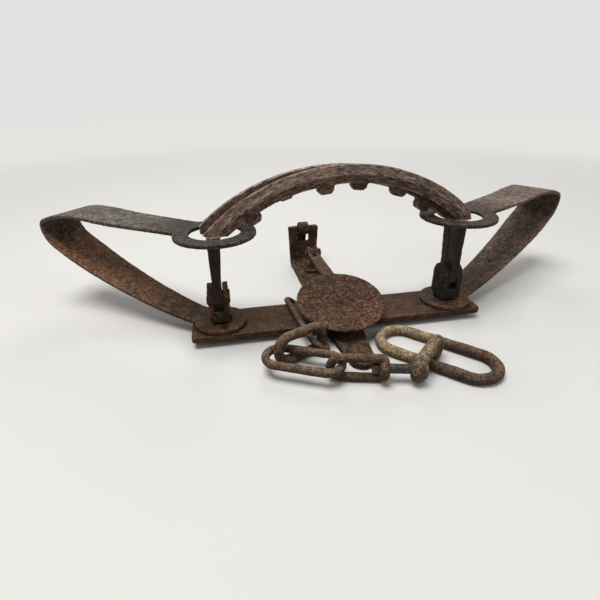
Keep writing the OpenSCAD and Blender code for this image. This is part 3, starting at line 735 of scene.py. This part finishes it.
class Bench:
    """Where the pieces are made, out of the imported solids."""

    def __init__(self, nodes: dict[str, bpy.types.Object]) -> None:
        """Keeps the solids and makes the shape trees.

        Args:
            nodes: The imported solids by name.
        """
        self.nodes = nodes
        self.weathering = weathering_tree()
        self.bar = bar_tree(self.weathering)
        self.seed = 0.0

    def next_seed(self) -> float:
        """Returns a fresh seed, the same in each run."""
        self.seed += SEED_STEP
        return self.seed

    def depths(self, wear: Wear, finish: Finish) -> dict[str, object]:
        """Works out the weathering tree's inputs for one piece, with a fresh seed.

        Args:
            wear: How far the piece is worn.
            finish: Its finish.

        Returns:
            The inputs' values by name.
        """
        return {
            "Pit depth": wear.pit_depth_mm * MM,
            "Pit size": wear.pit_size_mm * MM,
            "Dent depth": wear.dent_depth_mm * MM,
            "Dent size": wear.dent_size_mm * MM,
            "Seed": self.next_seed(),
            "Finish": finish.material(),
        }

    def holder(self, name: str, mesh: bpy.types.Mesh) -> bpy.types.Object:
        """Puts a mesh in the scene as a new piece at the origin.

        Args:
            name: Name of the piece.
            mesh: Its mesh.

        Returns:
            The piece.
        """
        piece = bpy.data.objects.new(name, mesh)
        bpy.context.scene.collection.objects.link(piece)
        return piece

    def settle(self, piece: bpy.types.Object) -> None:
        """Turns a piece and its modifiers into a plain mesh.

        Args:
            piece: The piece.
        """
        graph = bpy.context.evaluated_depsgraph_get()
        mesh = bpy.data.meshes.new_from_object(piece.evaluated_get(graph), depsgraph=graph)
        mesh.name = piece.name
        piece.modifiers.clear()
        piece.data = mesh
        LOG.info("%s: %d faces", piece.name, len(mesh.polygons))

    def worn_copy(
        self, name: str, solids: Sequence[str], finish: Finish, wear: Wear
    ) -> bpy.types.Object:
        """Makes a worn and pitted copy of some solids as one piece.

        Args:
            name: Name of the piece.
            solids: Names of the solids it is made from.
            finish: Its finish.
            wear: How far it is worn.

        Returns:
            The piece, a plain mesh at the origin.
        """
        mesh = bpy.data.meshes.new(name)
        form = bmesh.new()
        for solid in solids:
            form.from_mesh(self.nodes[solid].data)
        bmesh.ops.remove_doubles(form, verts=form.verts, dist=WELD_MM * MM)
        form.to_mesh(mesh)
        form.free()
        piece = self.holder(name, mesh)
        grid = piece.modifiers.new("grid", "REMESH")
        grid.mode = "VOXEL"
        grid.voxel_size = wear.grid_mm * MM
        grid.use_smooth_shade = True
        soft = piece.modifiers.new("worn_edges", "SMOOTH")
        soft.factor = SMOOTHING
        soft.iterations = wear.rounds
        self.weathering.put_on(piece, self.depths(wear, finish))
        self.settle(piece)
        return piece

    def swept_bar(
        self, name: str, line: Sequence[Vector], radius_mm: float, finish: Finish, wear: Wear
    ) -> bpy.types.Object:
        """Makes a closed link of round bar.

        Args:
            name: Name of the piece.
            line: Points of the bar's middle line, in metres; the last one joins the first.
            radius_mm: The bar's radius.
            finish: Its finish.
            wear: How far it is worn.

        Returns:
            The piece, a plain mesh at the origin.
        """
        mesh = bpy.data.meshes.new(name)
        count = len(line)
        edges = [(i, (i + 1) % count) for i in range(count)]
        mesh.from_pydata([tuple(point) for point in line], edges, [])
        piece = self.holder(name, mesh)
        self.bar.put_on(piece, {**self.depths(wear, finish), "Bar radius": radius_mm * MM})
        self.settle(piece)
        return piece

    def fit(self, piece: bpy.types.Object, body: str, slot: str, *solids: str) -> None:
        """Lets a piece ride on a body in place of its solids.

        Args:
            piece: The piece.
            body: The body that it moves with.
            slot: The record's material slot; not used.
            *solids: The solids that it stands for.
        """
        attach(piece, body)
        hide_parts(*solids)

    def forge(self, solid: str, body: str, finish: Finish, slot: str, wear: Wear) -> None:
        """Makes the worn copy of one iron solid, and fits it in the solid's place.

        Args:
            solid: Name of the solid.
            body: The body that it moves with.
            finish: Its finish.
            slot: The record's material slot.
            wear: How far it is worn.
        """
        piece = self.worn_copy(f"iron_{solid}", [solid], finish, wear)
        self.fit(piece, body, slot, solid)


@dataclass
class TrapFrame:
    """Base bar, cross bar, forked posts, pins and the pan's bracket: all that stands still.

    Attributes:
        body: The body that holds them.
        base_wear: How far the base bar is worn.
        cross_wear: How far the cross bar is worn.
    """

    body: str = "frame"
    base_wear: Wear = Wear(grid_mm=1.0, pit_depth_mm=0.5)
    cross_wear: Wear = Wear()

    def build(self, bench: Bench) -> None:
        """Makes every piece of the frame.

        Args:
            bench: Where the pieces are made.
        """
        for solid, finish, slot, wear in (
            ("base_bar", FLAT_BAR, "bar_rust", self.base_wear),
            ("cross_bar", FLAT_BAR, "bar_rust", self.cross_wear),
            ("cross_rivets", RIVETS, "rivet_iron", SMALL),
            ("left_post", LEFT_POST, "left_post_rust", HEAVY),
            ("right_post", RIGHT_POST, "right_post_patina", FINE),
            ("left_pivot_pins", RIVETS, "rivet_iron", SMALL),
            ("right_pivot_pins", RIVETS, "rivet_iron", SMALL),
            ("pan_bracket", FORGED, "hinge_iron", FINE),
            ("pan_bracket_rivets", RIVETS, "rivet_iron", SMALL),
            ("pan_pin", RIVETS, "rivet_iron", SMALL),
        ):
            bench.forge(solid, self.body, finish, slot, wear)


@dataclass
class JawPair:
    """The two arched jaws with their teeth.

    Attributes:
        shift_mm: How far each arch's middle is to the right of the trap's.
        centre_mm: Height of the arches' centre.
        arm_mm: Height at which an arm is all in painted shade, and where the arch's own tone is full.
        fibre: How far the pattern is drawn out along the bar.
        wear: How far the jaws are worn.
    """

    shift_mm: tuple[tuple[str, float], ...] = (("front_jaw", 6.0), ("back_jaw", -6.0))
    centre_mm: float = -30.0
    arm_mm: Band = (112.0, 124.0)
    fibre: float = 3.0
    wear: Wear = Wear(grid_mm=0.85, pit_depth_mm=0.4, pit_size_mm=6.0)

    def build(self, bench: Bench) -> None:
        """Makes both jaws, each on its own body.

        Args:
            bench: Where the pieces are made.
        """
        for jaw, shift in self.shift_mm:
            piece = bench.worn_copy(f"iron_{jaw}", [jaw], JAWS, self.wear)
            place = places(piece) / MM
            across, height = place[:, 0] - shift, place[:, 2] - self.centre_mm
            reach = np.hypot(across, height)
            along = np.arctan2(across, height) * reach.mean() / self.fibre
            arch = np.stack((along, place[:, 1], reach), axis=1)
            arm = place / (1.0, 1.0, self.fibre)
            start, full = self.arm_mm
            pattern = np.where(place[:, 2:] > start, arch, arm) * MM
            # The arms below the arch take the painted shade.
            mark_zones(piece, pattern, {JAW_ARM_PAINTED_SHADE: (full - place[:, 2]) / (full - start)})
            bench.fit(piece, jaw, "jaw_iron", jaw)


class Side(Enum):
    """The side of the trap that a spring is on."""

    LEFT = "left"
    RIGHT = "right"


@dataclass
class LeafSpring:
    """One folded leaf: lower arm, nose and upper arm with its ring eye.

    Attributes:
        side: The side of the trap.
        finish: Its finish.
        slot: The record's material slot; not used.
        bend_from_mm: Height at which the nose starts to take the upper arm's tone.
        bend_to_mm: Height above which all of it does.
        foot_mm: Height up to which its foot is crusted, and where the crust ends.
        eye_mm: Distance from the post at which the eye's own tone is full, and where it ends.
        wear: How far it is worn.
    """

    side: Side
    finish: Finish
    slot: str
    bend_from_mm: float = 85.0
    bend_to_mm: float = 117.0
    foot_mm: Band = (22.0, 40.0)
    eye_mm: Band = (44.0, 95.0)
    wear: Wear = Wear(
        grid_mm=1.0, pit_depth_mm=0.3, pit_size_mm=6.0, dent_depth_mm=0.4, dent_size_mm=60.0
    )

    def build(self, bench: Bench) -> None:
        """Makes the leaf as one piece.

        Args:
            bench: Where the pieces are made.
        """
        name = f"{self.side.value}_spring"
        solids = (f"{name}_lower", f"{name}_upper")
        piece = bench.worn_copy(f"steel_{name}", solids, self.finish, self.wear)
        place = places(piece)
        heights = place[:, 2] / MM
        rise = (heights - self.bend_from_mm) / (self.bend_to_mm - self.bend_from_mm)
        crust = (self.foot_mm[1] - heights) / (self.foot_mm[1] - self.foot_mm[0])
        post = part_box(f"{self.side.value}_post")
        away = np.hypot(*(place[:, :2] - np.array((post[0] + post[1])[:2]) / 2).T) / MM
        eye = (self.eye_mm[1] - away) / (self.eye_mm[1] - self.eye_mm[0])
        zones = {UPPER_ARM: rise, HIGH_EYE: np.minimum(eye, rise), LOW_EYE: crust}
        mark_zones(piece, place, zones)
        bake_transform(piece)
        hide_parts(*solids)


@dataclass
class Trigger:
    """The dog, and the pan on its hinged shank."""

    def build(self, bench: Bench) -> None:
        """Makes the dog and the pan's pieces.

        Args:
            bench: Where the pieces are made.
        """
        bench.forge("dog", "dog", FORGED, "hinge_iron", FINE)
        bench.forge("pan_plate", "pan", PAN, "pan_rust", HEAVY)
        bench.forge("pan_shank", "pan", FORGED, "hinge_iron", FINE)
        bench.forge("pan_rivet", "pan", RIVETS, "rivet_iron", SMALL)


def turned(degrees: float, axis: str) -> Matrix:
    """Makes a turn about an axis.

    Args:
        degrees: How far it turns.
        axis: The axis: "X", "Y" or "Z".

    Returns:
        The turn.
    """
    return Matrix.Rotation(math.radians(degrees), 4, axis)


class Known(Enum):
    """The point on a link's long axis whose place is known."""

    FIRST_END = "centre of its first round end"
    FIRST_TIP = "middle of the bar at the tip of its first end"
    MIDDLE = "middle of the link"
    SECOND_END = "centre of its second round end"


@dataclass(frozen=True)
class Link:
    """A closed link of round bar with straight sides.

    Attributes:
        solid: Name of the solid that it stands for, and of its body.
        length_mm: Distance between the centres of its round ends.
        span_mm: Distance between its straight sides, bar centre to bar centre.
        bar_mm: Radius of the bar.
        known: The point whose place is known.
        at_mm: That place.
        yaw: Turn of the link about the upright axis, in degrees.
        tilt: Turn about its own long axis, in degrees.
        step_mm: Spacing of points along the bar.
    """

    solid: str
    length_mm: float
    span_mm: float
    bar_mm: float
    known: Known
    at_mm: Place
    yaw: float
    tilt: float = 0.0
    step_mm: float = 1.0

    def lie(self) -> Matrix:
        """Returns how the link lies; its first end's centre is the local origin."""
        along = {
            Known.FIRST_END: 0.0,
            Known.FIRST_TIP: -self.span_mm / 2,
            Known.MIDDLE: self.length_mm / 2,
            Known.SECOND_END: self.length_mm,
        }[self.known]
        turn = turned(self.yaw, "Z") @ turned(self.tilt, "X")
        return Matrix.Translation(self.at_mm) @ turn @ Matrix.Translation((-along, 0, 0))

    def line(self) -> list[Vector]:
        """Returns the points of the bar's middle line, in metres."""
        half = self.span_mm / 2
        turns = round(math.pi * half / self.step_mm)
        runs = round(self.length_mm / self.step_mm)
        side = [Vector((self.length_mm * i / runs, -half, 0)) for i in range(runs)]
        for i in range(turns):
            angle = math.pi * i / turns - math.pi / 2
            reach, out = half * math.cos(angle), half * math.sin(angle)
            side.append(Vector((self.length_mm + reach, out, 0)))
        points = side + [Vector((self.length_mm - p.x, -p.y, 0)) for p in side]
        lie = self.lie()
        return [(lie @ point) * MM for point in points]


@dataclass
class DragChain:
    """The short chain: base loop, coupling ring, long link, swivel, hook and drag ring.

    The links have the sizes and places of the solids that they stand for.

    Attributes:
        base_loop: The long loop round the base bar.
        coupling_ring: The short thick ring in the loop's tip, on its edge.
        long_link: The link that lies in the coupling ring.
        drag_ring: The ring at the chain's end.
        pale_mm: How far from the ring's middle, along it, the pale scale starts and is full.
        wear: How far the bars are worn.
    """

    base_loop: Link = Link(
        "base_loop", length_mm=88.5, span_mm=24.0, bar_mm=3.8,
        known=Known.SECOND_END, at_mm=(-37.3, -57.5, 11.5), yaw=-82.8, tilt=-39.296,
    )
    coupling_ring: Link = Link(
        "coupling_ring", length_mm=27.3, span_mm=28.0, bar_mm=5.8,
        known=Known.FIRST_TIP, at_mm=(-83.836, -79.994, 19.8), yaw=24.1, tilt=90.0,
    )
    long_link: Link = Link(
        "long_link", length_mm=47.0, span_mm=31.0, bar_mm=4.8,
        known=Known.FIRST_END, at_mm=(-82.224, -84.195, 16.8), yaw=-25.0,
    )
    drag_ring: Link = Link(
        "drag_ring", length_mm=78.0, span_mm=46.0, bar_mm=6.2,
        known=Known.MIDDLE, at_mm=(82.366, -94.776, 6.4), yaw=-46.0,
    )
    pale_mm: Band = (-12.0, 22.0)
    wear: Wear = Wear(pit_depth_mm=0.4, pit_size_mm=3.5, dent_depth_mm=0.45, dent_size_mm=14.0)

    def pale_share(self, ring: bpy.types.Object) -> np.ndarray:
        """Says how far each point of the drag ring lies under pale scale.

        Args:
            ring: The drag ring.

        Returns:
            The share, one value a point.
        """
        yaw = math.radians(self.drag_ring.yaw)
        away = places(ring)[:, :2] / MM - self.drag_ring.at_mm[:2]
        along = away @ (-math.cos(yaw), -math.sin(yaw))
        start, full = self.pale_mm
        return (along - start) / (full - start)

    def sweep(self, bench: Bench, link: Link, finish: Finish) -> bpy.types.Object:
        """Makes one link of round bar.

        Args:
            bench: Where the pieces are made.
            link: The link.
            finish: Its finish.

        Returns:
            The piece.
        """
        return bench.swept_bar(f"iron_{link.solid}", link.line(), link.bar_mm, finish, self.wear)

    def build(self, bench: Bench) -> None:
        """Makes every piece of the chain.

        Args:
            bench: Where the pieces are made.
        """
        for link in (self.base_loop, self.coupling_ring, self.long_link):
            bench.fit(self.sweep(bench, link, CHAIN), link.solid, "chain_iron", link.solid)
        ring = self.sweep(bench, self.drag_ring, RING)
        mark_zones(ring, places(ring), {PALE_END: self.pale_share(ring)})
        bench.fit(ring, self.drag_ring.solid, "ring_scale", self.drag_ring.solid)
        bench.forge("swivel_bow", "swivel_bow", CHAIN, "chain_iron", FINE)
        bench.forge("swivel_pin", "swivel", SWIVEL, "swivel_steel", SMALL)
        bench.forge("ring_hook", "swivel", HOOK, "ring_scale", FINE)


@dataclass(frozen=True)
class Lamp:
    """One soft lamp with a round face.

    Attributes:
        name: Name of the lamp.
        place: Where it stands, in metres.
        size: Width of its face, in metres.
        power: Its power, in watts.
    """

    name: str
    place: Place
    size: float
    power: float

    def build(self, aim: Place) -> None:
        """Makes the lamp.

        Args:
            aim: The point that it looks at, in metres.
        """
        data = bpy.data.lights.new(self.name, "AREA")
        data.shape, data.size, data.energy = "DISK", self.size, self.power
        lamp = bpy.data.objects.new(self.name, data)
        lamp.location = self.place
        look = Vector(aim) - Vector(self.place)
        lamp.rotation_euler = look.to_track_quat("-Z", "Y").to_euler()
        bpy.context.scene.collection.objects.link(lamp)


@dataclass
class Studio:
    """Pale floor, soft lamps and a camera at the photograph's angle.

    Attributes:
        eye_mm: Place of the camera.
        yaw: Turn of the view to the right of the Y axis, in degrees.
        pitch: Downward look, in degrees.
        roll: Turn about the view's own axis, in degrees.
        lens_mm: Focal length.
        sensor_mm: Width of the sensor.
        clip: Nearest and farthest that the camera sees, in metres.
        lamps: The lamps.
        aim: The point that the lamps look at, in metres.
        sky_tone: Colour of the surroundings.
        sky_strength: Their strength as a light, and where they are seen.
        floor_radius: Radius of the floor, in metres.
        floor_sides: Sides of the floor's disc.
        floor_tones: The two tones that the floor wanders between where it is seen.
        floor_bounce: Its tone where it only throws light on the trap.
        floor_waves: Noise of the floor's tones, in waves a metre, and its detail.
        floor_roughness: How matt it is.
        haze: Distance at which the floor starts to look evenly pale, and where it does fully.
        haze_tone: Its tone there, beyond the lamps.
    """

    eye_mm: Place = (-121.7, -413.4, 255.8)
    yaw: float = 10.3
    pitch: float = 27.79
    roll: float = -0.73
    lens_mm: float = 24.0
    sensor_mm: float = 36.0
    clip: Band = (0.01, 50.0)
    lamps: tuple[Lamp, ...] = (
        Lamp("key", place=(-0.5, -0.2, 2.1), size=1.3, power=37.0),
        Lamp("fill", place=(1.3, -0.9, 1.1), size=1.2, power=4.0),
        Lamp("rim", place=(0.3, 1.5, 1.3), size=1.0, power=7.0),
    )
    aim: Place = (0.0, 0.0, 0.08)
    sky_tone: str = "#f4f3f1"
    sky_strength: Band = (0.26, 0.85)
    floor_radius: float = 4.0
    floor_sides: int = 96
    floor_tones: tuple[str, str] = ("#dedcd8", "#e6e4e0")
    floor_bounce: str = "#8d8a86"
    floor_waves: Band = (3.0, 2.0)
    floor_roughness: float = 0.85
    haze: Band = (0.6, 1.8)
    haze_tone: str = "#e4e3df"

    def build(self) -> None:
        """Makes the camera, the lamps, the sky and the floor."""
        self.camera()
        for lamp in self.lamps:
            lamp.build(self.aim)
        self.sky()
        self.floor()
        bpy.context.scene.view_settings.view_transform = "Standard"

    def camera(self) -> None:
        """Makes the camera and sets it as the scene's."""
        yaw, pitch, roll = (math.radians(angle) for angle in (self.yaw, self.pitch, self.roll))
        level_reach = math.cos(pitch)
        ahead = Vector((math.sin(yaw) * level_reach, math.cos(yaw) * level_reach, -math.sin(pitch)))
        level = Vector((math.cos(yaw), -math.sin(yaw), 0))
        above = level.cross(ahead)
        right = level * math.cos(roll) + above * math.sin(roll)
        up = above * math.cos(roll) - level * math.sin(roll)
        data = bpy.data.cameras.new("camera")
        data.lens, data.sensor_width, data.sensor_fit = self.lens_mm, self.sensor_mm, "HORIZONTAL"
        data.clip_start, data.clip_end = self.clip
        camera = bpy.data.objects.new("camera", data)
        turn = Matrix((right, up, -ahead)).transposed().to_4x4()
        camera.matrix_world = Matrix.Translation(Vector(self.eye_mm) * MM) @ turn
        bpy.context.scene.collection.objects.link(camera)
        bpy.context.scene.camera = camera

    def seen(self, tree: bpy.types.NodeTree) -> bpy.types.NodeSocket:
        """Tells what the camera sees, itself or in a reflection, from what only lights the trap.

        Args:
            tree: The tree that asks.

        Returns:
            A socket that gives 1 where it is seen.
        """
        path = add_node(tree, "ShaderNodeLightPath").outputs
        seen = path["Is Camera Ray"]
        for key in ("Is Glossy Ray", "Is Transmission Ray"):
            seen = maths(tree, "MAXIMUM", seen, path[key])
        return seen

    def sky(self) -> None:
        """Makes the pale surroundings, dimmer as a light than they look."""
        world = bpy.data.worlds.new("studio")
        world.use_nodes = True
        tree = world.node_tree
        tree.nodes.clear()
        strength = ramp(tree, self.seen(tree), (0.0, 1.0), self.sky_strength)
        inputs = {"Color": linear(self.sky_tone), "Strength": strength}
        light = add_node(tree, "ShaderNodeBackground", inputs).outputs[0]
        add_node(tree, "ShaderNodeOutputWorld", {"Surface": light})
        bpy.context.scene.world = world

    def floor(self) -> None:
        """Makes the floor, a pale matt disc under the trap."""
        mesh = bpy.data.meshes.new("floor")
        form = bmesh.new()
        bmesh.ops.create_circle(
            form, cap_ends=True, segments=self.floor_sides, radius=self.floor_radius
        )
        form.to_mesh(mesh)
        form.free()
        mesh.materials.append(self.floor_finish())
        floor = bpy.data.objects.new("floor", mesh)
        bpy.context.scene.collection.objects.link(floor)

    def floor_finish(self) -> bpy.types.Material:
        """Makes the floor's finish: lit near the trap, and evenly pale far from it.

        Returns:
            The material.
        """
        material = blank_material("pale_floor")
        tree = material.node_tree
        place = add_node(tree, "ShaderNodeTexCoord").outputs["Object"]
        waves, detail = self.floor_waves
        inputs = {"Vector": place, "Scale": waves, "Detail": detail}
        noise = add_node(tree, "ShaderNodeTexNoise", inputs).outputs[0]
        pale = mix_colours(tree, noise, *(linear(tone) for tone in self.floor_tones))
        seen = self.seen(tree)
        colour = mix_colours(tree, seen, linear(self.floor_bounce), pale)
        matt = {"Base Color": colour, "Roughness": self.floor_roughness}
        near = add_node(tree, "ShaderNodeBsdfPrincipled", matt).outputs[0]
        away = add_node(tree, "ShaderNodeVectorMath", {0: place}, operation="LENGTH").outputs["Value"]
        haze = ramp(tree, away, self.haze, (0.0, seen))
        even = {"Color": linear(self.haze_tone), "Strength": 1.0}
        far = add_node(tree, "ShaderNodeEmission", even).outputs[0]
        shader = add_node(tree, "ShaderNodeMixShader", {0: haze, 1: near, 2: far}).outputs[0]
        add_node(tree, "ShaderNodeOutputMaterial", {"Surface": shader})
        return material


def clear_scene() -> None:
    """Removes what a new file holds."""
    for thing in list(bpy.data.objects):
        bpy.data.objects.remove(thing)


def main() -> None:
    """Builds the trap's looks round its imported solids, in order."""
    clear_scene()
    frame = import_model()
    Studio().build()
    bench = Bench(frame["nodes"])
    parts = (
        TrapFrame(),
        JawPair(),
        LeafSpring(Side.LEFT, LEFT_SPRING, "left_spring_patina"),
        LeafSpring(Side.RIGHT, RIGHT_SPRING, "right_spring_steel"),
        Trigger(),
        DragChain(),
    )
    for part in parts:
        part.build(bench)
        LOG.info("%s done", type(part).__name__)


if __name__ == "__main__":
    logging.basicConfig(level=logging.INFO, format="%(name)s: %(message)s")
    main()
